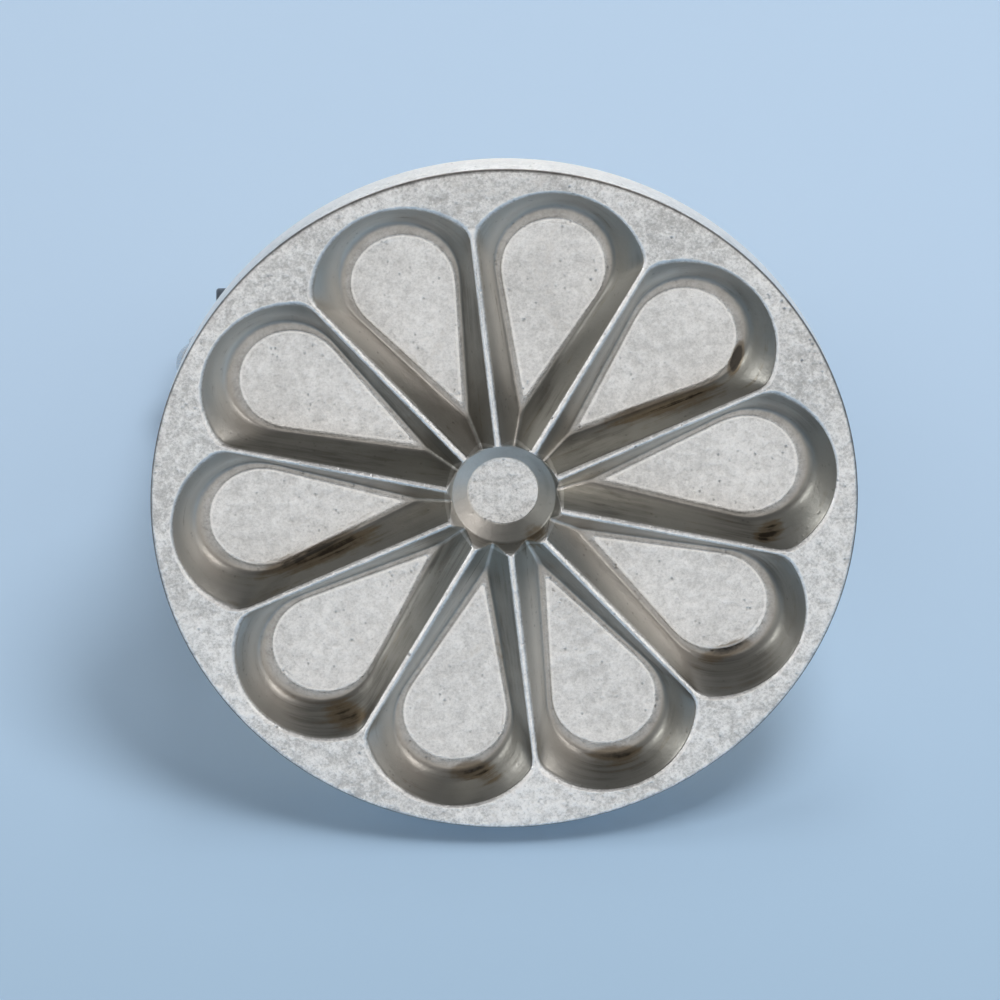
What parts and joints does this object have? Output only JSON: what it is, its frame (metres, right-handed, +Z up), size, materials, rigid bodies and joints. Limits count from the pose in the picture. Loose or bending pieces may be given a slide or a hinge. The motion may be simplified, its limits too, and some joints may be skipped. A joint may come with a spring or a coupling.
{
  "type": "cookie press mold",
  "caption": "Round cast mould plate with petal cavities round a small centre recess, on a bent bracket with a turning bar grip, for pressing cookies.",
  "frame": {"origin": "middle of the press's box, on the table that it lies on", "axes": "+Z up from the table, +X along the grip to the right as the face is seen from the front; the face looks towards -Y and up"},
  "size_m": [0.1098, 0.0952, 0.0936],
  "materials": {
    "cast_aluminium": "as-cast, grainy, with smoother tumbled cavity walls",
    "black_paint": "satin black paint on steel strap",
    "turned_wood": "turned hardwood, thin satin varnish",
    "plated_steel": "bright plated steel",
    "brass": "turned brass"
  },
  "bodies": {
    "press": {"press_head": "cast_aluminium", "handle_bracket": "black_paint", "grip_rod": "plated_steel", "washer_left": "plated_steel", "washer_right": "plated_steel", "cap_nut_left": "plated_steel", "cap_nut_right": "plated_steel", "bracket_screw_left": "plated_steel", "bracket_screw_right": "plated_steel", "lock_washer_left": "plated_steel", "lock_washer_right": "plated_steel"},
    "turning_grip": {"grip": "turned_wood", "bushing_left": "brass", "bushing_right": "brass"}
  },
  "joints": [
    {"name": "grip_turn", "type": "hinge", "parent": "press", "child": "turning_grip", "pos_m": [0, 0.03359, 0.014], "axis": [1, 0, 0], "continuous": true}
  ]
}
